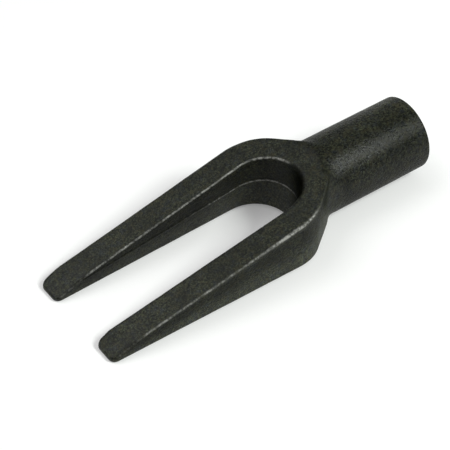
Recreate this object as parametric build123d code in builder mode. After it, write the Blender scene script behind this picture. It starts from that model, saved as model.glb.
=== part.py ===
"""Ball joint separator: a drop-forged two-tine wedge fork with a blind socket for its handle.

The fork lies along X.  The origin is the centre of the socket's mouth, +X points out of the
mouth, the tines run toward -X and +Z is up.  The shank is turned about the X axis, and the
forging's parting plane is Z = 0.  All dimensions are in millimetres.
"""
import os
from math import cos, hypot, radians, sin

from build123d import *

# ---- shank ----
shank_radius = 12.7             # one inch bar
shank_rim_chamfer = 1.0         # broken outer edge of the mouth
shank_fade_x = -39.0            # the full bar ends here, inside the head ...
shank_nose_x = -44.0            # ... and tapers to this point
shank_nose_radius = 9.0

# ---- head, seen from above ----
overall_length = 130.0
shoulder_x = -59.3              # widest station, and the centre of the crotch arc
shoulder_half_width = 21.1
shoulder_radius = 15.2
tip_half_width = 20.0
tip_corner_radius = 2.2
flank_lean = 38.6               # angle between the straight back flanks and the X axis
head_back_x = -36.0             # rearmost point of the head
head_back_radius = 14.5

# ---- head, seen from the side ----
underside_z = -10.3
wedge_slope = 0.21              # rise of the top face per millimetre toward the shank
bevel_x = -118.0                # the steeper chisel bevel runs from here to the tip
bevel_top_z = -4.76
tip_thickness = 1.2
top_edge_radius = 0.6
bottom_edge_radius = 0.5
root_radius = 1.5               # blend between the head and the shank

# ---- gap between the tines ----
crotch_radius = 12.2
tip_half_gap = 10.55
crotch_lean = 0.215             # slide toward the tips per millimetre below the parting plane

# ---- socket for the handle ----
socket_radius = 8.1             # takes a 5/8 inch spigot
socket_depth = 30.0
drill_point_depth = 4.0
groove_radius = 10.3
groove_width = 2.8
groove_x = -8.0

# ---- retaining ring ----
ring_inner_radius = 7.9
ring_section_radius = 1.2

# Working sizes: beyond the tips, and above or below the forging.
clear = 5.0
tall = 30.0

tip_x = -overall_length
tip_top_z = underside_z + tip_thickness
bevel_slope = (bevel_top_z - tip_top_z) / (bevel_x - tip_x)


def wedge_top_z(x):
    """Height of the wedge's main top face at station x."""
    return bevel_top_z + wedge_slope * (x - bevel_x)


def shank_radius_at(x):
    """Radius of the shank's round bar at station x, its taper included."""
    if x > shank_fade_x:
        return shank_radius
    share = (x - shank_nose_x) / (shank_fade_x - shank_nose_x)
    return shank_nose_radius + share * (shank_radius - shank_nose_radius)


def sampled(edge):
    """Three points along an edge, away from its ends."""
    return [edge.position_at(share) for share in (0.2, 0.5, 0.8)]


def is_top_rim(edge):
    """True for an edge that bounds the wedge's main top face."""
    return all(p.X > bevel_x + 0.1 and abs(p.Z - wedge_top_z(p.X)) < 0.03 for p in sampled(edge))


def is_bevel_rim(edge):
    """True for an edge that bounds the chisel bevel of a tip."""
    return all(
        p.X < bevel_x - 0.1 and abs(p.Z - bevel_top_z - bevel_slope * (p.X - bevel_x)) < 0.03
        for p in sampled(edge)
    )


def is_bottom_rim(edge):
    """True for an edge that bounds the flat underside."""
    return all(abs(p.Z - underside_z) < 0.01 for p in sampled(edge))


def is_root(edge):
    """True for an edge where the head meets the upper and side faces of the shank."""
    if edge.geom_type == GeomType.CIRCLE or not -43 < edge.center().X < -30:
        return False
    if edge.center().Z < underside_z / 2:
        return False
    return all(abs(hypot(p.Y, p.Z) - shank_radius_at(p.X)) < 0.01 for p in sampled(edge))


# Plan points where the shoulder arc and the back arc run into the straight flank.
lean = radians(flank_lean)
shoulder_centre_y = shoulder_half_width - shoulder_radius
flank_front = (
    shoulder_x + shoulder_radius * sin(lean),
    shoulder_centre_y + shoulder_radius * cos(lean),
)
shoulder_middle = (
    shoulder_x + shoulder_radius * sin(lean / 2),
    shoulder_centre_y + shoulder_radius * cos(lean / 2),
)
flank_back = (
    head_back_x - head_back_radius * (1 - sin(lean)),
    head_back_radius * cos(lean),
)

os.makedirs("parts", exist_ok=True)

with BuildPart() as fork_head:
    # The head and both tines as one upright block.
    with BuildSketch(Plane.XY.offset(underside_z)):
        with BuildLine() as half_outline:
            Line((tip_x, 0), (tip_x, tip_half_width))
            Line((tip_x, tip_half_width), (shoulder_x, shoulder_half_width))
            ThreePointArc((shoulder_x, shoulder_half_width), shoulder_middle, flank_front)
            Line(flank_front, flank_back)
            RadiusArc(flank_back, (head_back_x, 0), head_back_radius)
            mirror(about=Plane.XZ)
        make_face()
    extrude(amount=tall)

    # Everything above the wedge's top face and the chisel bevels comes off.
    with BuildSketch(Plane.XZ):
        with BuildLine():
            Polyline(
                (tip_x - clear, tall),
                (tip_x - clear, tip_top_z),
                (tip_x, tip_top_z),
                (bevel_x, bevel_top_z),
                (head_back_x + clear, wedge_top_z(head_back_x + clear)),
                (head_back_x + clear, tall),
                close=True,
            )
        make_face()
    extrude(amount=tall, both=True, mode=Mode.SUBTRACT)

    # The gap: upright above the parting plane.  Below it the crotch leans toward the tips.
    with BuildSketch(Plane.XY) as gap_outline:
        with BuildLine():
            Line((tip_x - clear, 0), (tip_x - clear, tip_half_gap))
            Line((tip_x - clear, tip_half_gap), (shoulder_x, crotch_radius))
            RadiusArc((shoulder_x, crotch_radius), (shoulder_x + crotch_radius, 0), crotch_radius)
            mirror(about=Plane.XZ)
        make_face()
    extrude(amount=tall, mode=Mode.SUBTRACT)
    extrude(gap_outline.sketch, amount=tall, dir=(-crotch_lean, 0, -1), mode=Mode.SUBTRACT)

    # Rounded plan corners of the two tips.
    tip_corners = fork_head.edges().filter_by(
        lambda edge: abs(edge.center().X - tip_x) < 0.1 and edge.length < 2 * tip_thickness
    )
    fillet(tip_corners, radius=tip_corner_radius)

    # Forged edges are never sharp.
    top_rims = fork_head.edges().filter_by(is_top_rim) + fork_head.edges().filter_by(is_bevel_rim)
    fillet(top_rims, radius=top_edge_radius)
    fillet(fork_head.edges().filter_by(is_bottom_rim), radius=bottom_edge_radius)

    # The round shank fades into the head.
    with BuildSketch(Plane.XZ):
        with BuildLine():
            Polyline(
                (shank_nose_x, 0),
                (shank_nose_x, shank_nose_radius),
                (shank_fade_x, shank_radius),
                (-shank_rim_chamfer, shank_radius),
                (0, shank_radius - shank_rim_chamfer),
                (0, 0),
                close=True,
            )
        make_face()
    revolve(axis=Axis.X)
    fillet(fork_head.edges().filter_by(is_root), radius=root_radius)

    # Blind socket with a square mouth, a drilled bottom and an inner ring groove.
    with BuildSketch(Plane.XZ):
        with BuildLine():
            Polyline(
                (clear, 0),
                (clear, socket_radius),
                (groove_x + groove_width / 2, socket_radius),
                (groove_x + groove_width / 2, groove_radius),
                (groove_x - groove_width / 2, groove_radius),
                (groove_x - groove_width / 2, socket_radius),
                (-socket_depth, socket_radius),
                (-socket_depth - drill_point_depth, 0),
                close=True,
            )
        make_face()
    revolve(axis=Axis.X, mode=Mode.SUBTRACT)

with BuildPart() as retaining_ring:
    with BuildSketch(Plane.XZ):
        with Locations((groove_x, ring_inner_radius + ring_section_radius)):
            Circle(ring_section_radius)
    revolve(axis=Axis.X)

fork_head.part.label = "fork_head"
retaining_ring.part.label = "retaining_ring"
export_step(fork_head.part, "parts/fork_head.step")
export_step(retaining_ring.part, "parts/retaining_ring.step")
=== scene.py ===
import math

import bpy
import numpy as np
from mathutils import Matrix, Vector


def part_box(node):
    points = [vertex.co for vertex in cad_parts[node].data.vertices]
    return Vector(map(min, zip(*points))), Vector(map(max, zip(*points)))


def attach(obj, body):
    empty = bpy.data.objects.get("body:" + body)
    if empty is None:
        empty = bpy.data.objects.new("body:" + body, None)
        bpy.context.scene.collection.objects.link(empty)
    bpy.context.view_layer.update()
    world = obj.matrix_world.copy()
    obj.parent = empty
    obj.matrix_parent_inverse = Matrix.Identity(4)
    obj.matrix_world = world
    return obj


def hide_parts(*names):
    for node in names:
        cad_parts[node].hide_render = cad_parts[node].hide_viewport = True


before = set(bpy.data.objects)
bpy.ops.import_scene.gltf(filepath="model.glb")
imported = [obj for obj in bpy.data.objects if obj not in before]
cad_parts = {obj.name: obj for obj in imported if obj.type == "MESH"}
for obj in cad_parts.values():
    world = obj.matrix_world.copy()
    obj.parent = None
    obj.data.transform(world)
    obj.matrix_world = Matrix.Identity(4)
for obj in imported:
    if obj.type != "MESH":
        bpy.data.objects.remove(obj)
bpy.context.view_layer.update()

MM = 0.001
HEAD_LOW, HEAD_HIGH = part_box("fork_head")
RING_LOW, RING_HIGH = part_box("retaining_ring")

# ---------------------------------------------------------------- design sizes, in millimetres
# The head's CAD box gives the overall length, the width and the shank. The rest is as in part.py.
TIP_X = HEAD_LOW.x / MM
HALF_WIDTH = HEAD_HIGH.y / MM
SHANK_R = HEAD_HIGH.z / MM
UNDER_Z = -10.3
SHANK_FADE_X, SHANK_NOSE_X, SHANK_NOSE_R = -39.0, -44.0, 9.0
SHOULDER_X, SHOULDER_R = -59.3, 15.2
TIP_HALF_WIDTH, TIP_CORNER_R = 20.0, 2.2
FLANK_LEAN = math.radians(38.6)
BACK_X, BACK_R = -36.0, 14.5
WEDGE_SLOPE, BEVEL_X, BEVEL_TOP_Z, TIP_THICK = 0.21, -118.0, -4.76, 1.2
CROTCH_R, TIP_HALF_GAP, CROTCH_LEAN = 12.2, 10.55, 0.215
GAP_OVERRUN = 5.0
SOCKET_R, SOCKET_DEPTH, DRILL_DEPTH = 8.1, 30.0, 4.0
GROOVE_R, GROOVE_W, GROOVE_X = 10.3, 2.8, -8.0
RING_IN_R = 7.9
# The CAD ring's box is in single precision, so these are rounded to a thousandth.
RING_X = round((RING_LOW.x + RING_HIGH.x) / 2 / MM, 3)
RING_SECTION_R = round((RING_HIGH.x - RING_LOW.x) / 2 / MM, 3)

# ---------------------------------------------------------------- forged detail, in millimetres
# A pair is the stretch over which an effect comes in, along the axis in its name. Depth is -Z and
# near is -Y.
TOP_ROUND, BOTTOM_ROUND, RIM_ROUND = 0.55, 0.5, 0.6
BACK_ROUND, BACK_ROUND_X = 2.3, (-47, -39)
NEAR_BACK_SOFTER, NEAR_BACK_NEAR = 0.5, (0, 6)
CROTCH_ROUND, CROTCH_ROUND_X, CROTCH_ROUND_NEAR = 2.0, (-56, -50), (-4, 2)
BEVEL_BLEND, NOSE_BLEND = 0.35, 1.0
# The head runs into the shank with a narrow blend on top, a wide one on the sides and a narrow one
# underneath.
ROOT_BLEND = 1.4
ROOT_WIDER, ROOT_WIDER_DEPTH = 3.6, (-11.5, -5.0)
ROOT_NARROWER, ROOT_NARROWER_DEPTH = 3.2, (2.0, 8.0)
FAR_FULLNESS, FAR_FULL_X, FAR_FULL_LENGTH = 0.9, -47.6, 5.0
FAR_FULL_Y, FAR_FULL_Z = (8, 14), (-2, 6)
# The flash line of the forging dies runs round the gap, and down along the tines.
SEAM_HEIGHT, SEAM_WIDTH = 0.16, 0.28
SEAM_Z, SEAM_DROP, SEAM_DROP_X = -0.3, 0.085, -50.0
NEAR_TINE_SHORTER = 0.5
TINE_MIDDLE, BEVEL_CROWN, BEVEL_CROWN_X, BEVEL_CROWN_LENGTH = 15.3, 0.9, -124.0, 4.5
BEVEL_CROWN_SIDE = (-1.0, 4.0)
MOUTH_BREAK, MOUTH_BREAK_DEPTH = 0.35, 0.6
DRILL_SCALE = 0.44              # makes the steep drill point's distance about true
# Height, size and seed of each layer of the as-forged skin, and where the turned socket has none.
SKIN = ((0.035, 9.0, 1), (0.016, 3.1, 2), (0.007, 1.2, 3))
SKIN_FADE = (-1.2, -0.4)
PERLIN_GAIN = 1.6               # brings the noise to about -1 to 1


def perlin(points, size, seed):
    """Smooth noise, about -1 to 1, with features of the given size."""
    table = np.random.default_rng(seed).permutation(256)
    grads = np.random.default_rng(seed + 1).normal(size=(256, 3))
    grads /= np.linalg.norm(grads, axis=1)[:, None]
    q = points / size
    cell = np.floor(q).astype(np.int64)
    frac = q - cell
    fade = frac ** 3 * (frac * (frac * 6 - 15) + 10)
    total = np.zeros(len(points))
    for corner in range(8):
        off = np.array([corner & 1, corner >> 1 & 1, corner >> 2 & 1])
        at = cell + off
        h = table[(table[(table[at[:, 0] & 255] + at[:, 1]) & 255] + at[:, 2]) & 255]
        dot = ((frac - off) * grads[h]).sum(1)
        w = np.where(off, fade, 1 - fade).prod(1)
        total += dot * w
    return total * PERLIN_GAIN


def round_max(a, b, r):
    """Intersection of two solids' distances with a convex round of radius r."""
    return np.minimum(np.maximum(a, b), -r) + np.hypot(np.maximum(a + r, 0), np.maximum(b + r, 0))


def soft_max(a, b, width):
    """Intersection of two nearly parallel faces, the crease softened over the given width."""
    return np.maximum(a, b) + np.maximum(width - np.abs(a - b), 0) ** 2 / (4 * width)


def soft_min(a, b, width):
    """Union of two faces that may be nearly tangent."""
    return np.minimum(a, b) - np.maximum(width - np.abs(a - b), 0) ** 2 / (4 * width)


def smooth_step(x, lo, hi):
    """0 below lo, 1 above hi, and smooth between."""
    t = np.clip((x - lo) / (hi - lo), 0, 1)
    return t * t * (3 - 2 * t)


S_LEAN, C_LEAN = math.sin(FLANK_LEAN), math.cos(FLANK_LEAN)
SHOULDER_CY = HALF_WIDTH - SHOULDER_R
BACK_CX = BACK_X - BACK_R
FLANK_FRONT = (SHOULDER_X + SHOULDER_R * S_LEAN, SHOULDER_CY + SHOULDER_R * C_LEAN)
FLANK_BACK = (BACK_CX + BACK_R * S_LEAN, BACK_R * C_LEAN)


def outer_plan(x, y):
    """Distance outside the head's plan outline, tip end left open."""
    y = np.abs(y)
    slope = (HALF_WIDTH - TIP_HALF_WIDTH) / (SHOULDER_X - TIP_X)
    side = (y - HALF_WIDTH - slope * (x - SHOULDER_X)) / math.hypot(1, slope)
    fx, fy = FLANK_BACK[0] - FLANK_FRONT[0], FLANK_BACK[1] - FLANK_FRONT[1]
    nx, ny = -fy / math.hypot(fx, fy), fx / math.hypot(fx, fy)
    flank = (x - FLANK_FRONT[0]) * nx + (y - FLANK_FRONT[1]) * ny
    d = np.maximum(side, flank)
    # Each arc holds in the fan that its radii sweep out.
    sx, sy = x - SHOULDER_X, y - SHOULDER_CY
    d = np.where((sx > 0) & (nx * sy - ny * sx > 0), np.hypot(sx, sy) - SHOULDER_R, d)
    bx = x - BACK_CX
    return np.where((bx > 0) & (nx * y - ny * bx < 0), np.hypot(bx, y) - BACK_R, d)


def gap_plan(x, y, z):
    """Distance outside the gap between the tines."""
    cx = SHOULDER_X + CROTCH_LEAN * np.minimum(z, 0)
    slope = (CROTCH_R - TIP_HALF_GAP) / (SHOULDER_X - (TIP_X - GAP_OVERRUN))
    side = (np.abs(y) - CROTCH_R - slope * (x - cx)) / math.hypot(1, slope)
    return np.where(x < cx, side, np.hypot(x - cx, y) - CROTCH_R)


def wedge_top(x):
    """Height of the wedge's main top face at station x."""
    return BEVEL_TOP_Z + WEDGE_SLOPE * (x - BEVEL_X)


BEVEL_SLOPE = (BEVEL_TOP_Z - UNDER_Z - TIP_THICK) / (BEVEL_X - TIP_X)


def top_face(x, y, z):
    """Distance above the wedge's top face and the chisel bevel, whose far side is crowned."""
    side = smooth_step(y - np.sign(y) * TINE_MIDDLE, *BEVEL_CROWN_SIDE)
    z = z - BEVEL_CROWN * side * np.exp(-((x - BEVEL_CROWN_X) / BEVEL_CROWN_LENGTH) ** 2)
    wedge = (z - wedge_top(x)) / math.hypot(1, WEDGE_SLOPE)
    bevel = (z - BEVEL_TOP_Z - BEVEL_SLOPE * (x - BEVEL_X)) / math.hypot(1, BEVEL_SLOPE)
    return soft_max(wedge, bevel, BEVEL_BLEND)


def seam_z(x):
    """Height of the flash line, which runs down along the tines."""
    return SEAM_Z + SEAM_DROP * np.minimum(x - SEAM_DROP_X, 0)


def shank_bar(x, y, z):
    """Distance outside the solid shank, its end rounded and its nose tapered."""
    rho = np.hypot(y, z)
    bar = round_max(rho - SHANK_R, x, RIM_ROUND)
    taper = (SHANK_R - SHANK_NOSE_R) / (SHANK_FADE_X - SHANK_NOSE_X)
    cone = (rho - SHANK_NOSE_R - taper * (x - SHANK_NOSE_X)) / math.hypot(1, taper)
    return soft_max(np.maximum(bar, SHANK_NOSE_X - x), cone, NOSE_BLEND)


def socket(x, y, z):
    """Distance outside the socket's hollow: bore, drill point, ring groove and mouth."""
    rho = np.hypot(y, z)
    bore = np.maximum(rho - SOCKET_R, -SOCKET_DEPTH - x)
    past = -SOCKET_DEPTH - x
    point = np.maximum((rho - SOCKET_R) + past * SOCKET_R / DRILL_DEPTH, x + SOCKET_DEPTH)
    groove = np.maximum(rho - GROOVE_R, np.abs(x - GROOVE_X) - GROOVE_W / 2)
    mouth = (rho - SOCKET_R - MOUTH_BREAK - x) / math.sqrt(2)
    mouth = np.maximum(mouth, -MOUTH_BREAK_DEPTH - x)
    return np.minimum(np.minimum(np.minimum(bore, point * DRILL_SCALE), groove), mouth)


def fork(x, y, z):
    """Distance outside the whole forging."""
    fullness = FAR_FULLNESS * np.exp(-((x - FAR_FULL_X) / FAR_FULL_LENGTH) ** 2)
    fullness = fullness * smooth_step(y, *FAR_FULL_Y) * smooth_step(z, *FAR_FULL_Z)
    outer = outer_plan(x, y) - fullness
    inner = -gap_plan(x, y, z) - SEAM_HEIGHT * np.exp(-((z - seam_z(x)) / SEAM_WIDTH) ** 2)
    top = top_face(x, y, z)
    back_round = BACK_ROUND * (1 + NEAR_BACK_SOFTER * smooth_step(-y, *NEAR_BACK_NEAR))
    back_round = TOP_ROUND + (back_round - TOP_ROUND) * smooth_step(x, *BACK_ROUND_X)
    crotch_round = (CROTCH_ROUND - TOP_ROUND) * smooth_step(x, *CROTCH_ROUND_X)
    crotch_round = TOP_ROUND + crotch_round * smooth_step(-y, *CROTCH_ROUND_NEAR)
    tip = TIP_X + NEAR_TINE_SHORTER * (y < 0) - x
    plan = round_max(outer, tip, TIP_CORNER_R)
    head = round_max(round_max(plan, top, back_round), UNDER_Z - z, BOTTOM_ROUND)
    gap = round_max(round_max(inner, tip, TIP_CORNER_R), top, crotch_round)
    gap = round_max(gap, UNDER_Z - z, BOTTOM_ROUND)
    head = np.maximum(head, gap)
    root = ROOT_BLEND + ROOT_WIDER * smooth_step(-z, *ROOT_WIDER_DEPTH)
    root = root - ROOT_NARROWER * smooth_step(-z, *ROOT_NARROWER_DEPTH)
    whole = soft_min(head, shank_bar(x, y, z), root)
    whole = np.maximum(whole, z - SHANK_R)
    return np.maximum(whole, -socket(x, y, z))


def surface_nets(field, origin, step):
    """Quads of the zero surface of a sampled field: one vertex in each cell that it crosses."""
    inside = field < 0
    n = np.array(field.shape) - 1
    first = inside[:-1, :-1, :-1]
    mixed = np.zeros(n, bool)
    corners = [(i, j, k) for i in (0, 1) for j in (0, 1) for k in (0, 1)]

    def shifted(a, c):
        return a[c[0]:c[0] + n[0], c[1]:c[1] + n[1], c[2]:c[2] + n[2]]

    for c in corners[1:]:
        mixed |= shifted(inside, c) != first
    cells = np.argwhere(mixed)
    number = np.full(n, -1, np.int32)
    number[mixed] = np.arange(len(cells), dtype=np.int32)
    total, count = np.zeros((len(cells), 3)), np.zeros(len(cells))
    values = {c: shifted(field, c)[mixed] for c in corners}
    for a in corners:
        for axis in range(3):
            if a[axis]:
                continue
            b = tuple(1 if i == axis else a[i] for i in range(3))
            va, vb = values[a], values[b]
            cross = (va < 0) != (vb < 0)
            t = np.where(cross, va / np.where(cross, va - vb, 1), 0)
            point = np.tile(np.array(a, float), (len(cells), 1))
            point[:, axis] += t
            total += point * cross[:, None]
            count += cross
    verts = (cells + total / count[:, None]) * step + origin
    quads = []
    for axis in range(3):
        u, v = (axis + 1) % 3, (axis + 2) % 3
        lo = [slice(None)] * 3
        hi = [slice(None)] * 3
        lo[axis], hi[axis] = slice(0, -1), slice(1, None)
        change = inside[tuple(lo)] != inside[tuple(hi)]
        edge = np.argwhere(change)
        edge = edge[(edge[:, u] > 0) & (edge[:, v] > 0) & (edge[:, u] < n[u]) & (edge[:, v] < n[v])]
        ring = []
        for du, dv in ((1, 1), (0, 1), (0, 0), (1, 0)):
            cell = edge.copy()
            cell[:, u] -= du
            cell[:, v] -= dv
            ring.append(number[cell[:, 0], cell[:, 1], cell[:, 2]])
        quad = np.stack(ring, 1)
        outward = inside[edge[:, 0], edge[:, 1], edge[:, 2]]
        quad[~outward] = quad[~outward][:, ::-1]
        quads.append(quad)
    return verts, np.vstack(quads)


def make_mesh(name, verts, faces):
    mesh = bpy.data.meshes.new(name)
    mesh.from_pydata(verts.tolist(), [], faces.tolist())
    mesh.validate()
    mesh.shade_smooth()
    return mesh


def add_object(name, data):
    obj = bpy.data.objects.new(name, data)
    bpy.context.scene.collection.objects.link(obj)
    return obj


def forged(p):
    """The forging's distance with its uneven as-forged skin. The turned socket stays smooth."""
    x, y, z = p.T
    skin = sum(height * perlin(p, size, seed) for height, size, seed in SKIN)
    turned = smooth_step(-socket(x, y, z), *SKIN_FADE)
    return fork(x, y, z) - skin * (1 - turned)


def gradient(f, p, step=0.02):
    """Slope of the distance f at the points p."""
    g = np.zeros_like(p)
    for axis in range(3):
        d = np.zeros(3)
        d[axis] = step
        g[:, axis] = (f(p + d) - f(p - d)) / (2 * step)
    return g


def settle(f, p, rounds=3, limit=0.25, least_slope=0.05):
    """Moves points along the gradient onto the zero surface."""
    for _ in range(rounds):
        g = gradient(f, p)
        size = np.maximum((g * g).sum(1), least_slope)
        move = -(f(p) / size)[:, None] * g
        length = np.linalg.norm(move, axis=1)
        p = p + move * np.minimum(1, limit / np.maximum(length, 1e-9))[:, None]
    return p


def sample_grid(step, pad_steps=3.43):
    """The forging's distance on a grid, whose planes the odd pad keeps off the flat faces."""
    pad = pad_steps * step
    axes = [np.arange(lo - pad, hi + pad + step, step) for lo, hi in
            ((TIP_X, 0.0), (-HALF_WIDTH, HALF_WIDTH), (-SHANK_R, SHANK_R))]
    field = np.empty([len(a) for a in axes], np.float32)
    y, z = np.meshgrid(axes[1], axes[2], indexing="ij")
    for i, x in enumerate(axes[0]):
        field[i] = fork(np.full_like(y, x), y, z)
    return field, np.array([a[0] for a in axes])


# ---------------------------------------------------------------- the forging's mesh
STEP = 0.3
TARGET_TRIS = 190_000
field, origin = sample_grid(STEP)
verts, quads = surface_nets(field, origin, STEP)
verts = settle(lambda p: fork(*p.T), verts)
mesh = make_mesh("fork_forging", verts * MM, quads)
obj = add_object("fork_forging", mesh)
if len(quads) * 2 > TARGET_TRIS:
    thin = obj.modifiers.new("thin", "DECIMATE")
    thin.ratio = TARGET_TRIS / (len(quads) * 2)
    deps = bpy.context.evaluated_depsgraph_get()
    slim = bpy.data.meshes.new_from_object(obj.evaluated_get(deps))
    obj.modifiers.clear()
    obj.data = slim
    bpy.data.meshes.remove(mesh)
    slim.name = "fork_forging"
    mesh = slim
co = np.empty(len(mesh.vertices) * 3, np.float32)
mesh.vertices.foreach_get("co", co)
points = settle(forged, co.reshape(-1, 3).astype(float) / MM, rounds=2)
points = np.clip(points, np.array(HEAD_LOW) / MM, np.array(HEAD_HIGH) / MM)
mesh.vertices.foreach_set("co", (points * MM).astype(np.float32).ravel())
mesh.update()
mesh.shade_smooth()

# ---------------------------------------------------------------- wear of the rims, with painted highlight, in millimetres
# The rims' mark is partly wear and partly a painted highlight, stronger on the rims that face the
# key light.
RIM_REACH = (0.22, 0.62)                    # fully marked, and not marked, this far from a rim
RIM_END_X = (-56.5, -50)
RIM_WEAR_AND_PAINTED_HIGHLIGHT, FAR_RIM_SHARE_AWAY_FROM_LIGHT = 0.8, 0.3           # the outer rims: both of them, and the far one's share, less as it faces away from the light
# The near tine's inner rim faces away from the light and gets this share of the mark.
INNER_NEAR_SHARE_AWAY_FROM_LIGHT, INNER_FAR_Y = 0.25, (0, 6)
WIDEST_X, WIDEST_LENGTH, WIDEST_SPREAD, WIDEST_WEAR = -64, 11, 0.45, 0.5
BEVEL_WEAR, BEVEL_FADE = 0.24, 1.5
SEAM_REACH, SEAM_OFF_WALL = (0.1, 0.34), 0.6
# The flash line's rub and painted highlight show on the far wall, which faces the light, and fade
# out along the tines.
SEAM_SHOWN_X, SEAM_SHOWN_Y = (-84, -66), (-4, 3)
DASH_SIZE, DASH_SEED, DASH_EDGE, DASH_GAP, DASH_END_X = 1.6, 7, 0.25, 0.75, (-62, -54)
NICK, NICK_REACH, NICK_WEAR = (-127.0, 10.4, -8.0), (0.25, 0.6), 1.3


def rim_wear_and_painted_highlight(x, y, wall_out, wall_in, top):
    """How far the oxide is rubbed off the top rims, with a painted highlight on top: most at the
    widest part, little on the tips, and less on the rims that face away from the light.
    """
    off_bevel = smooth_step(x, BEVEL_X - BEVEL_FADE, BEVEL_X + BEVEL_FADE)
    along = BEVEL_WEAR + (1 - BEVEL_WEAR) * off_bevel
    widest = np.exp(-((x - WIDEST_X) / WIDEST_LENGTH) ** 2)
    outer = 1 - smooth_step(np.hypot(wall_out, top) / (1 + WIDEST_SPREAD * widest), *RIM_REACH)
    outer *= along * (1 - smooth_step(x, *RIM_END_X)) * np.where(y < 0, 1.0, FAR_RIM_SHARE_AWAY_FROM_LIGHT)
    outer *= RIM_WEAR_AND_PAINTED_HIGHLIGHT + WIDEST_WEAR * widest
    inner = 1 - smooth_step(np.hypot(wall_in, top), *RIM_REACH)
    inner *= along * (INNER_NEAR_SHARE_AWAY_FROM_LIGHT + (1 - INNER_NEAR_SHARE_AWAY_FROM_LIGHT) * smooth_step(y, *INNER_FAR_Y))
    return np.maximum(outer, inner)


def seam_rub_and_painted_highlight(p, wall_in):
    """How far the flash line is rubbed bright, with a painted highlight where it faces the light: a
    line in the crotch, dashes along the tines.
    """
    x, y, z = p.T
    line = 1 - smooth_step(np.abs(z - seam_z(x)), *SEAM_REACH)
    line = line * (np.abs(wall_in) < SEAM_OFF_WALL)
    rubbed = smooth_step(perlin(p, DASH_SIZE, DASH_SEED), -DASH_EDGE, DASH_EDGE)
    rubbed = 1 - (1 - rubbed) * DASH_GAP * (1 - smooth_step(x, *DASH_END_X))
    return line * rubbed * smooth_step(x, *SEAM_SHOWN_X) * smooth_step(y, *SEAM_SHOWN_Y)


def nick_wear(p):
    """One bright nick at the far tip."""
    return NICK_WEAR * (1 - smooth_step(np.linalg.norm(p - np.array(NICK), axis=1), *NICK_REACH))


# ---------------------------------------------------------------- tone and gloss of the oxide, with painted shading and highlight
# 1 is the wedge's top face. Painted shade darkens the gap, the walls, the shank's underside and the
# root of the shank, and painted light lifts the tips, the shank's far side and the feet of the
# walls and of the gap. The shank is darker. Sunk is how far down a wall a point lies, from -1 at
# its top to 0 at its foot.
# Painted light: the tops get lighter towards the tips.
TIP_PAINTED_LIGHT, TIP_PAINTED_LIGHT_AHEAD = 0.15, (75, 112)
SHANK_CUT, SHANK_X = 0.26, (-43, -34)
# Painted shade on the shank's underside.
SHANK_UNDER_PAINTED_SHADE, SHANK_LOW_DEPTH = 0.36, (-7, 3)
# Painted light on the shank's far side, more towards the mouth.
FAR_SHANK_PAINTED_LIGHT, FAR_MOUTH_PAINTED_LIGHT, FAR_SHANK_Y, FAR_MOUTH_X = 0.14, 0.16, (-6, 0), (-35, -12)
# Painted shade where the head's top runs into the shank.
ROOT_PAINTED_SHADE, ROOT_X, ROOT_LENGTH, ROOT_TOP_Z = 0.25, -39, 3.5, (9.5, 11.5)
# Painted shade on the outer walls, with painted light towards their feet and their back end.
WALL_PAINTED_SHADE, WALL_FOOT_PAINTED_LIGHT, WALL_BACK_PAINTED_LIGHT = 0.66, 0.92, 0.20
WALL_SUNK, WALL_BACK_X, WALL_REACH = (-0.70, -0.10), (-50, -42), (-1.2, -0.3)
WALL_END_X, WALL_TOP_SUNK = (-44, -36), (-0.98, -0.86)
# Painted shade in the gap between the tines: darker above the flash line and near the crotch's near
# side, with painted light towards the foot and in the crotch.
GAP_LOW_PAINTED_SHADE, GAP_FOOT_PAINTED_LIGHT, GAP_LOW_CROTCH_PAINTED_LIGHT, GAP_SUNK = 0.50, 0.42, 0.62, (-0.75, -0.10)
GAP_UP_PAINTED_SHADE, GAP_UP_CROTCH_LESS_PAINTED_SHADE, GAP_CROTCH_X, SEAM_EDGE = 0.43, 0.29, (-78, -62), 0.25
GAP_NEAR_PAINTED_SHADE, GAP_NEAR, GAP_NEAR_X = 0.70, (-2, 4), (-60, -50)
GAP_REACH, GAP_NEAR_REACH, GAP_END_X = (-0.9, -0.3), 1.1, -40
# Painted shade on the gloss: the walls and the shank's far edge are dulled.
WALL_GLOSS_PAINTED_SHADE, FAR_EDGE_GLOSS_PAINTED_SHADE, FAR_EDGE_Y = 0.4, 0.35, (2, 9)
# Painted highlight along the shank's crown on its near side, cut back towards the mouth.
PAINTED_HIGHLIGHT_SHINE, PAINTED_HIGHLIGHT_CUT, PAINTED_HIGHLIGHT_Z, PAINTED_HIGHLIGHT_CUT_X = 0.10, 0.30, (5, 9), (-24, -4)


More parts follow.
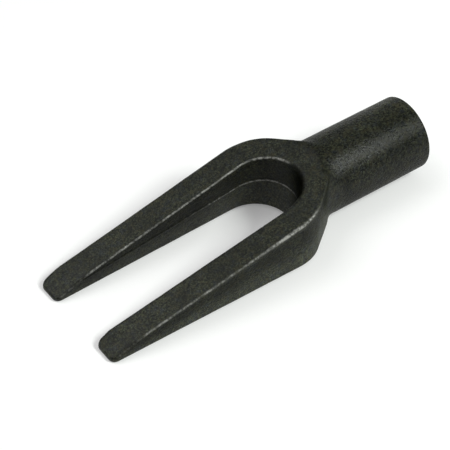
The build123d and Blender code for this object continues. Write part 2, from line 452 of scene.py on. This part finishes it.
def tone_with_painted_shading(p, sunk, wall_in, on_shank, on_wall):
    """How light the oxide is drawn: its tone, with painted shade and painted light."""
    x, y, z = p.T
    in_crotch = smooth_step(x, *GAP_CROTCH_X)
    near_crotch = smooth_step(-y, *GAP_NEAR) * smooth_step(x, *GAP_NEAR_X)
    reach_start = GAP_REACH[0] - GAP_NEAR_REACH * near_crotch
    on_gap = smooth_step(-np.abs(wall_in), reach_start, GAP_REACH[1]) * (x < GAP_END_X)
    # Painted shade in the gap: darker above the flash line, with painted light towards the foot and
    # in the crotch.
    upper = smooth_step(z - seam_z(x), -SEAM_EDGE, SEAM_EDGE)
    low_painted_shade = GAP_LOW_PAINTED_SHADE + GAP_FOOT_PAINTED_LIGHT * smooth_step(sunk, *GAP_SUNK)
    low_painted_shade = low_painted_shade + GAP_LOW_CROTCH_PAINTED_LIGHT * in_crotch
    gap_painted_shade = low_painted_shade * (1 - upper) + (GAP_UP_PAINTED_SHADE + GAP_UP_CROTCH_LESS_PAINTED_SHADE * in_crotch) * upper
    gap_painted_shade *= 1 - GAP_NEAR_PAINTED_SHADE * near_crotch
    # Painted shade on the walls, lighter towards the foot and the back.
    wall_painted_shade = WALL_PAINTED_SHADE + WALL_FOOT_PAINTED_LIGHT * smooth_step(sunk, *WALL_SUNK)
    wall_painted_shade = wall_painted_shade + WALL_BACK_PAINTED_LIGHT * smooth_step(x, *WALL_BACK_X)
    # Painted light on the tips.
    tone_and_painted_shading = 1.0 + TIP_PAINTED_LIGHT * smooth_step(-x, *TIP_PAINTED_LIGHT_AHEAD)
    # Painted light on the shank's far side.
    far_shank = on_shank * smooth_step(y, *FAR_SHANK_Y)
    tone_and_painted_shading += far_shank * (FAR_SHANK_PAINTED_LIGHT + FAR_MOUTH_PAINTED_LIGHT * smooth_step(x, *FAR_MOUTH_X))
    # Painted shade at the root, where the head's top runs into the shank; the shank is darker.
    root = np.exp(-((x - ROOT_X) / ROOT_LENGTH) ** 2) * smooth_step(z, *ROOT_TOP_Z)
    tone_and_painted_shading -= SHANK_CUT * on_shank + ROOT_PAINTED_SHADE * root
    # Painted shade on the shank's underside.
    tone_and_painted_shading *= 1 - SHANK_UNDER_PAINTED_SHADE * on_shank * smooth_step(-z, *SHANK_LOW_DEPTH)
    # The walls take their painted shade and light.
    tone_and_painted_shading += (wall_painted_shade - tone_and_painted_shading) * on_wall
    # The gap takes its painted shade.
    tone_and_painted_shading += (gap_painted_shade - tone_and_painted_shading) * on_gap
    return tone_and_painted_shading


def gloss_of_painted_highlight_and_shade(p, tone_and_painted_shading, on_shank, on_wall):
    """How strongly the oxide shines, following the tone: a painted highlight along the shank's
    crown on its near side, and painted shade that dulls the walls and the shank's far edge.
    """
    x, y, z = p.T
    # Painted highlight band along the shank's crown.
    painted_highlight_band = on_shank * smooth_step(z, *PAINTED_HIGHLIGHT_Z) * (1 - smooth_step(y, *FAR_SHANK_Y))
    gloss_with_painted_highlight_and_shade = tone_and_painted_shading * (1 - WALL_GLOSS_PAINTED_SHADE * on_wall)
    gloss_with_painted_highlight_and_shade = gloss_with_painted_highlight_and_shade - FAR_EDGE_GLOSS_PAINTED_SHADE * on_shank * smooth_step(y, *FAR_EDGE_Y)
    return gloss_with_painted_highlight_and_shade + painted_highlight_band * (PAINTED_HIGHLIGHT_SHINE - PAINTED_HIGHLIGHT_CUT * smooth_step(x, *PAINTED_HIGHLIGHT_CUT_X))


def store(name, values):
    """Writes one value per vertex, for the material to read."""
    attribute = mesh.attributes.new(name, "FLOAT", "POINT")
    attribute.data.foreach_set("value", np.asarray(values, np.float32))


def paint(p):
    """Stores the forging's wear with painted highlight, its tone with painted shading, and its
    gloss with painted highlight and shade.
    """
    x, y, z = p.T
    wall_out, wall_in = outer_plan(x, y), -gap_plan(x, y, z)
    # Rub and painted highlight of the flash line.
    store("flash_line_rub_and_painted_highlight", seam_rub_and_painted_highlight(p, wall_in))
    sunk = -np.clip((z - UNDER_Z) / (wedge_top(x) - UNDER_Z), 0, 1)
    on_wall = smooth_step(-np.abs(wall_out), *WALL_REACH) * (1 - smooth_step(x, *WALL_END_X))
    on_wall = on_wall * smooth_step(sunk, *WALL_TOP_SUNK)
    on_shank = smooth_step(x, *SHANK_X)
    tone_and_painted_shading = tone_with_painted_shading(p, sunk, wall_in, on_shank, on_wall)
    # The tone holds painted shade and painted light.
    store("tone_and_painted_shading", tone_and_painted_shading)
    # The gloss holds painted highlight and painted shade.
    store("gloss_with_painted_highlight_and_shade", gloss_of_painted_highlight_and_shade(p, tone_and_painted_shading, on_shank, on_wall))
    store("polish", on_shank)
    rims = rim_wear_and_painted_highlight(x, y, wall_out, wall_in, top_face(x, y, z))
    # Wear and painted highlight of the rims, with one worn nick.
    store("wear_and_painted_highlight", np.maximum(rims, nick_wear(p)))


paint(points)


# ---------------------------------------------------------------- materials
# A noise is its scale per metre, its detail, its roughness and its distortion. A range is the part
# of a noise over which its effect comes in. A bump is its distance in metres and its strength.
OXIDE_DARK, OXIDE_LIGHT = (0.0020, 0.0028, 0.0010), (0.0340, 0.0390, 0.0225)
OXIDE_BROWN, OXIDE_PIT = (0.0260, 0.0215, 0.0090), (0.0030, 0.0035, 0.0020)
OXIDE_BLUE = (0.0180, 0.0230, 0.0270)
MOTTLE_NOISE, MOTTLE_BUMP = (520.0, 3.0, 0.6), (0.00022, 0.7)
SPECKLE_NOISE, SPECKLE_BUMP = (1400.0, 3.0, 0.7), (0.00018, 1.0)
SPOT_SPECKLE, SPOT_MOTTLE, SPOT_RANGE = 0.75, 0.25, (0.41, 0.59)
BROWN_NOISE, BROWN_RANGE, BROWN_SHARE = (520.0, 5.0, 0.8), (0.47, 0.60), 0.55
BLUE_NOISE, BLUE_RANGE, BLUE_SHARE = (430.0, 5.0, 0.85, 0.4), (0.49, 0.62), 0.6
CLOUD_NOISE, CLOUD_RANGE, CLOUD_SHARE = (110.0, 3.0, 0.55), (0.36, 0.64), 0.4
PIT_SCALE, PIT_SIZE, PIT_SHARE = 800.0, 0.34, 0.5
GRAIN_NOISE, GRAIN_RANGE, GRAIN_TONES = (2400.0, 2.0, 0.8), (0.38, 0.62), (0.35, 1.65)
CHIP_NOISE, CHIP_RANGE, CHIP_LEAST = (1100.0, 3.0, 0.6), (0.38, 0.60), 0.25
STRETCH_NOISE, STRETCH_RANGE, STRETCH_LEAST = (170.0, 2.0, 0.5), (0.34, 0.60), 0.35
# The rubbed colour stands for bare steel and for a painted highlight.
WORN_STEEL_AND_PAINTED_HIGHLIGHT, WORN_METAL, SEAM_SHARE = (0.30, 0.30, 0.28), 0.22, 0.9
ROUGH_RANGE, ROUGHNESS, POLISH_CUT, WORN_CUT = (0.35, 0.65), (0.30, 0.44), 0.09, 0.06
SHINE_RANGE, SHINE = (0.32, 0.85), (0.20, 0.024)    # from facing the eye to the outline
RUBBER_DARK, RUBBER_BLOOM = (0.008, 0.008, 0.009), (0.020, 0.020, 0.021)
BLOOM_NOISE, BLOOM_RANGE = (600.0, 4.0, 0.6), (0.4, 0.7)
RUBBER_ROUGH_RANGE, RUBBER_ROUGHNESS = (0.3, 0.7), (0.42, 0.62)
RUBBER_NOISE, RUBBER_BUMP = (2500.0, 3.0), (0.00003, 0.4)
PAPER_WHITE, PAPER_ROUGHNESS, PAPER_SHINE, PAPER_GLOW = (0.80, 0.80, 0.80), 0.9, 0.1, 0.22


class Mat:
    """A small helper for procedural materials."""

    def __init__(self, name):
        self.mat = bpy.data.materials.new(name)
        self.mat.use_nodes = True
        self.tree = self.mat.node_tree
        self.tree.nodes.clear()
        self.out = self.tree.nodes.new("ShaderNodeOutputMaterial")
        self.bsdf = self.tree.nodes.new("ShaderNodeBsdfPrincipled")
        self.link(self.bsdf.outputs[0], self.out.inputs[0])
        self.coords = self.tree.nodes.new("ShaderNodeTexCoord").outputs["Object"]

    def link(self, a, b):
        self.tree.links.new(a, b)

    def put(self, value, target):
        """Sets a constant on the socket itself, or links an output to it."""
        if isinstance(value, (int, float)):
            target.default_value = value
        elif isinstance(value, tuple):
            target.default_value = (*value, 1.0)
        else:
            self.link(value, target)

    def math(self, op, a, b=0.0, c=0.0, clamp=False):
        n = self.tree.nodes.new("ShaderNodeMath")
        n.operation, n.use_clamp = op, clamp
        for value, target in zip((a, b, c), n.inputs):
            self.put(value, target)
        return n.outputs[0]

    def noise(self, scale, detail, rough=0.5, distortion=0.0):
        n = self.tree.nodes.new("ShaderNodeTexNoise")
        self.link(self.coords, n.inputs["Vector"])
        n.inputs["Scale"].default_value = scale
        n.inputs["Detail"].default_value = detail
        n.inputs["Roughness"].default_value = rough
        n.inputs["Distortion"].default_value = distortion
        return n.outputs["Fac"]

    def cells(self, scale):
        n = self.tree.nodes.new("ShaderNodeTexVoronoi")
        self.link(self.coords, n.inputs["Vector"])
        n.inputs["Scale"].default_value = scale
        return n.outputs["Distance"]

    def ramp(self, value, lo, hi, out_lo=0.0, out_hi=1.0):
        n = self.tree.nodes.new("ShaderNodeMapRange")
        n.interpolation_type = "SMOOTHSTEP"
        for v, target in zip((value, lo, hi, out_lo, out_hi), n.inputs):
            self.put(v, target)
        return n.outputs[0]

    def mix(self, fac, a, b):
        n = self.tree.nodes.new("ShaderNodeMix")
        n.data_type = "RGBA"
        self.put(fac, n.inputs[0])
        self.put(a, n.inputs[6])
        self.put(b, n.inputs[7])
        return n.outputs[2]

    def scale(self, colour, factor):
        n = self.tree.nodes.new("ShaderNodeVectorMath")
        n.operation = "SCALE"
        self.put(colour, n.inputs[0])
        self.put(factor, n.inputs["Scale"])
        return n.outputs[0]

    def attribute(self, name):
        n = self.tree.nodes.new("ShaderNodeAttribute")
        n.attribute_name = name
        return n.outputs["Fac"]

    def bump(self, height, distance, strength, normal=None):
        n = self.tree.nodes.new("ShaderNodeBump")
        n.inputs["Distance"].default_value = distance
        n.inputs["Strength"].default_value = strength
        self.link(height, n.inputs["Height"])
        if normal is not None:
            self.link(normal, n.inputs["Normal"])
        return n.outputs[0]


def forging_material():
    """Mottled black oxide with pits and tints, rubbed through to steel with a painted highlight
    where the mesh says so, and with painted shading from the mesh's tone.
    """
    m = Mat("black_oxide_forging")
    clouds = m.noise(*CLOUD_NOISE)
    mottle = m.noise(*MOTTLE_NOISE)
    speckle = m.noise(*SPECKLE_NOISE)
    pits = m.ramp(m.cells(PIT_SCALE), 0.0, PIT_SIZE, 1.0, 0.0)
    spots = m.math("MULTIPLY_ADD", speckle, SPOT_SPECKLE, m.math("MULTIPLY", mottle, SPOT_MOTTLE))
    colour = m.mix(m.ramp(spots, *SPOT_RANGE), OXIDE_DARK, OXIDE_LIGHT)
    brown = m.ramp(m.noise(*BROWN_NOISE), *BROWN_RANGE)
    colour = m.mix(m.math("MULTIPLY", brown, BROWN_SHARE), colour, OXIDE_BROWN)
    blue = m.ramp(m.noise(*BLUE_NOISE), *BLUE_RANGE)
    colour = m.mix(m.math("MULTIPLY", blue, BLUE_SHARE), colour, OXIDE_BLUE)
    colour = m.mix(m.ramp(clouds, *CLOUD_RANGE, 0.0, CLOUD_SHARE), colour, OXIDE_DARK)
    colour = m.mix(m.math("MULTIPLY", pits, PIT_SHARE), colour, OXIDE_PIT)
    grain = m.ramp(m.noise(*GRAIN_NOISE), *GRAIN_RANGE, *GRAIN_TONES)
    # The tone scales the colour with painted shade and painted light.
    colour = m.scale(colour, m.math("MULTIPLY", m.attribute("tone_and_painted_shading"), grain))
    # Rubbed edges: the oxide is chipped there, and bright steel shows through in stretches. The
    # mark is partly a painted highlight, on the rims and the flash line that face the light.
    chips = m.ramp(m.noise(*CHIP_NOISE), *CHIP_RANGE, CHIP_LEAST, 1.0)
    stretches = m.ramp(m.noise(*STRETCH_NOISE), *STRETCH_RANGE, STRETCH_LEAST, 1.0)
    rims = m.math("MULTIPLY", m.attribute("wear_and_painted_highlight"), m.math("MULTIPLY", chips, stretches))
    # The flash line's rub and painted highlight.
    flash_line_rub_and_painted_highlight = m.math("MULTIPLY", m.math("MULTIPLY", m.attribute("flash_line_rub_and_painted_highlight"), SEAM_SHARE), chips)
    wear_and_painted_highlight = m.math("MAXIMUM", rims, flash_line_rub_and_painted_highlight, clamp=True)
    colour = m.mix(wear_and_painted_highlight, colour, WORN_STEEL_AND_PAINTED_HIGHLIGHT)
    m.link(colour, m.bsdf.inputs["Base Color"])
    m.link(m.math("MULTIPLY", wear_and_painted_highlight, WORN_METAL), m.bsdf.inputs["Metallic"])
    rough = m.math("MULTIPLY_ADD", speckle, 0.5, m.math("MULTIPLY", mottle, 0.5))
    rough = m.ramp(rough, *ROUGH_RANGE, *ROUGHNESS)
    rough = m.math("SUBTRACT", rough, m.math("MULTIPLY", m.attribute("polish"), POLISH_CUT))
    rough = m.math("SUBTRACT", rough, m.math("MULTIPLY", wear_and_painted_highlight, WORN_CUT))
    m.link(rough, m.bsdf.inputs["Roughness"])
    # The gloss scales the shine with painted highlight and painted shade.
    facing = m.tree.nodes.new("ShaderNodeLayerWeight").outputs["Facing"]
    shine = m.math("MULTIPLY", m.ramp(facing, *SHINE_RANGE, *SHINE), m.attribute("gloss_with_painted_highlight_and_shade"))
    m.link(shine, m.bsdf.inputs["Specular IOR Level"])
    coarse = m.bump(mottle, *MOTTLE_BUMP)
    m.link(m.bump(speckle, *SPECKLE_BUMP, coarse), m.bsdf.inputs["Normal"])
    return m.mat


def rubber_material():
    """Dull black nitrile rubber with a faint bloom."""
    m = Mat("nitrile_rubber")
    bloom = m.noise(*BLOOM_NOISE)
    colour = m.mix(m.ramp(bloom, *BLOOM_RANGE), RUBBER_DARK, RUBBER_BLOOM)
    m.link(colour, m.bsdf.inputs["Base Color"])
    m.link(m.ramp(bloom, *RUBBER_ROUGH_RANGE, *RUBBER_ROUGHNESS), m.bsdf.inputs["Roughness"])
    m.link(m.bump(m.noise(*RUBBER_NOISE), *RUBBER_BUMP), m.bsdf.inputs["Normal"])
    return m.mat


def paper_material():
    """Pale studio paper, which glows a little so that the shadow under the fork stays faint."""
    m = Mat("floor_paper")
    m.put(PAPER_WHITE, m.bsdf.inputs["Base Color"])
    m.put(PAPER_ROUGHNESS, m.bsdf.inputs["Roughness"])
    m.put(PAPER_SHINE, m.bsdf.inputs["Specular IOR Level"])
    m.put((1.0, 1.0, 1.0), m.bsdf.inputs["Emission Color"])
    m.put(PAPER_GLOW, m.bsdf.inputs["Emission Strength"])
    return m.mat


obj.data.materials.clear()
obj.data.materials.append(forging_material())
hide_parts("fork_head")
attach(obj, "root")


# ---------------------------------------------------------------- the ring in its groove
RING_SLACK = 0.04                           # the moulded section is this much under its size
FLASH_HEIGHT, FLASH_WIDTH = 0.035, 0.12     # the mould's flash line, its width in radians


def ring_mesh(turns=128, around=28):
    """A moulded O-ring with a fine flash line along its inner and outer equators."""
    a = np.linspace(0, 2 * math.pi, turns, endpoint=False)
    b = np.linspace(0, 2 * math.pi, around, endpoint=False)
    r = RING_SECTION_R - RING_SLACK + FLASH_HEIGHT * np.exp(-(np.sin(b) / FLASH_WIDTH) ** 2)
    rho = RING_IN_R + RING_SECTION_R + r * np.cos(b)
    along = np.broadcast_to(RING_X + r * np.sin(b), (turns, around))
    pts = np.stack([along, np.outer(np.cos(a), rho), np.outer(np.sin(a), rho)], -1)
    i, j = np.meshgrid(np.arange(turns), np.arange(around), indexing="ij")
    i2, j2 = (i + 1) % turns, (j + 1) % around
    quad = np.stack([i * around + j, i2 * around + j, i2 * around + j2, i * around + j2], -1)
    return pts.reshape(-1, 3), quad.reshape(-1, 4)


ring_points, ring_quads = ring_mesh()
ring = add_object("retaining_o_ring", make_mesh("retaining_o_ring", ring_points * MM, ring_quads))
ring.data.materials.append(rubber_material())
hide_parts("retaining_ring")
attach(ring, "root")

# ---------------------------------------------------------------- floor, light, camera
# The floor tilts so that the fork lies on its tips and on the mouth end of its shank.
FLOOR_HALF, FLOOR_GAP = 3.0, 0.00002
low_tip = Vector((TIP_X * MM, 0, UNDER_Z * MM))
low_shank = Vector((0, 0, -SHANK_R * MM))
floor_corners = [(-FLOOR_HALF, -FLOOR_HALF, 0), (FLOOR_HALF, -FLOOR_HALF, 0),
                 (FLOOR_HALF, FLOOR_HALF, 0), (-FLOOR_HALF, FLOOR_HALF, 0)]
floor_mesh = bpy.data.meshes.new("floor")
floor_mesh.from_pydata(floor_corners, [], [(0, 1, 2, 3)])
floor = add_object("floor", floor_mesh)
floor.rotation_euler = (0, math.atan2(low_tip.z - low_shank.z, low_shank.x - low_tip.x), 0)
floor.location = low_shank - Vector((0, 0, FLOOR_GAP))
floor.data.materials.append(paper_material())

WORLD_STRENGTH = 0.33
world = bpy.data.worlds.new("studio")
bpy.context.scene.world = world
world.use_nodes = True
background = world.node_tree.nodes["Background"]
background.inputs["Color"].default_value = (1.0, 1.0, 1.0, 1.0)
background.inputs["Strength"].default_value = WORLD_STRENGTH


def softbox(name, direction, distance, side, power, colour=(1, 1, 1)):
    """A square area light that faces AIM."""
    data = bpy.data.lights.new(name, "AREA")
    data.shape, data.size, data.size_y = "RECTANGLE", side, side
    data.energy, data.color = power, colour
    lamp = add_object(name, data)
    d = Vector(direction).normalized()
    lamp.location = Vector(AIM) + d * distance
    lamp.rotation_mode = "QUATERNION"
    lamp.rotation_quaternion = d.to_track_quat("Z", "Y")


AIM = (-0.06, 0.0, 0.0)
KEY_COLOUR = (0.96, 1.0, 0.96)
softbox("key", (0.44, -0.56, 0.70), 0.9, 0.26, 6.0, KEY_COLOUR)
softbox("top", (-0.30, 0.45, 0.84), 1.2, 0.9, 5.0)

CAM_AZ, CAM_EL = math.radians(-36.014), math.radians(45.002)
CAM_TARGET = Vector((-0.07365, 0.0, -0.000404))
CAM_DISTANCE = 0.54501
CAM_LENS = 139.06
back = Vector((math.sin(CAM_AZ) * math.cos(CAM_EL),
               -math.cos(CAM_AZ) * math.cos(CAM_EL),
               math.sin(CAM_EL)))
cam_data = bpy.data.cameras.new("camera")
cam_data.sensor_width, cam_data.lens = 36.0, CAM_LENS
cam_data.clip_start, cam_data.clip_end = 0.01, 20.0
cam = add_object("camera", cam_data)
cam.rotation_mode = "QUATERNION"
cam.rotation_quaternion = (-back).to_track_quat("-Z", "Y")
cam.location = CAM_TARGET + back * CAM_DISTANCE
bpy.context.scene.camera = cam
bpy.context.scene.view_settings.view_transform = "Standard"
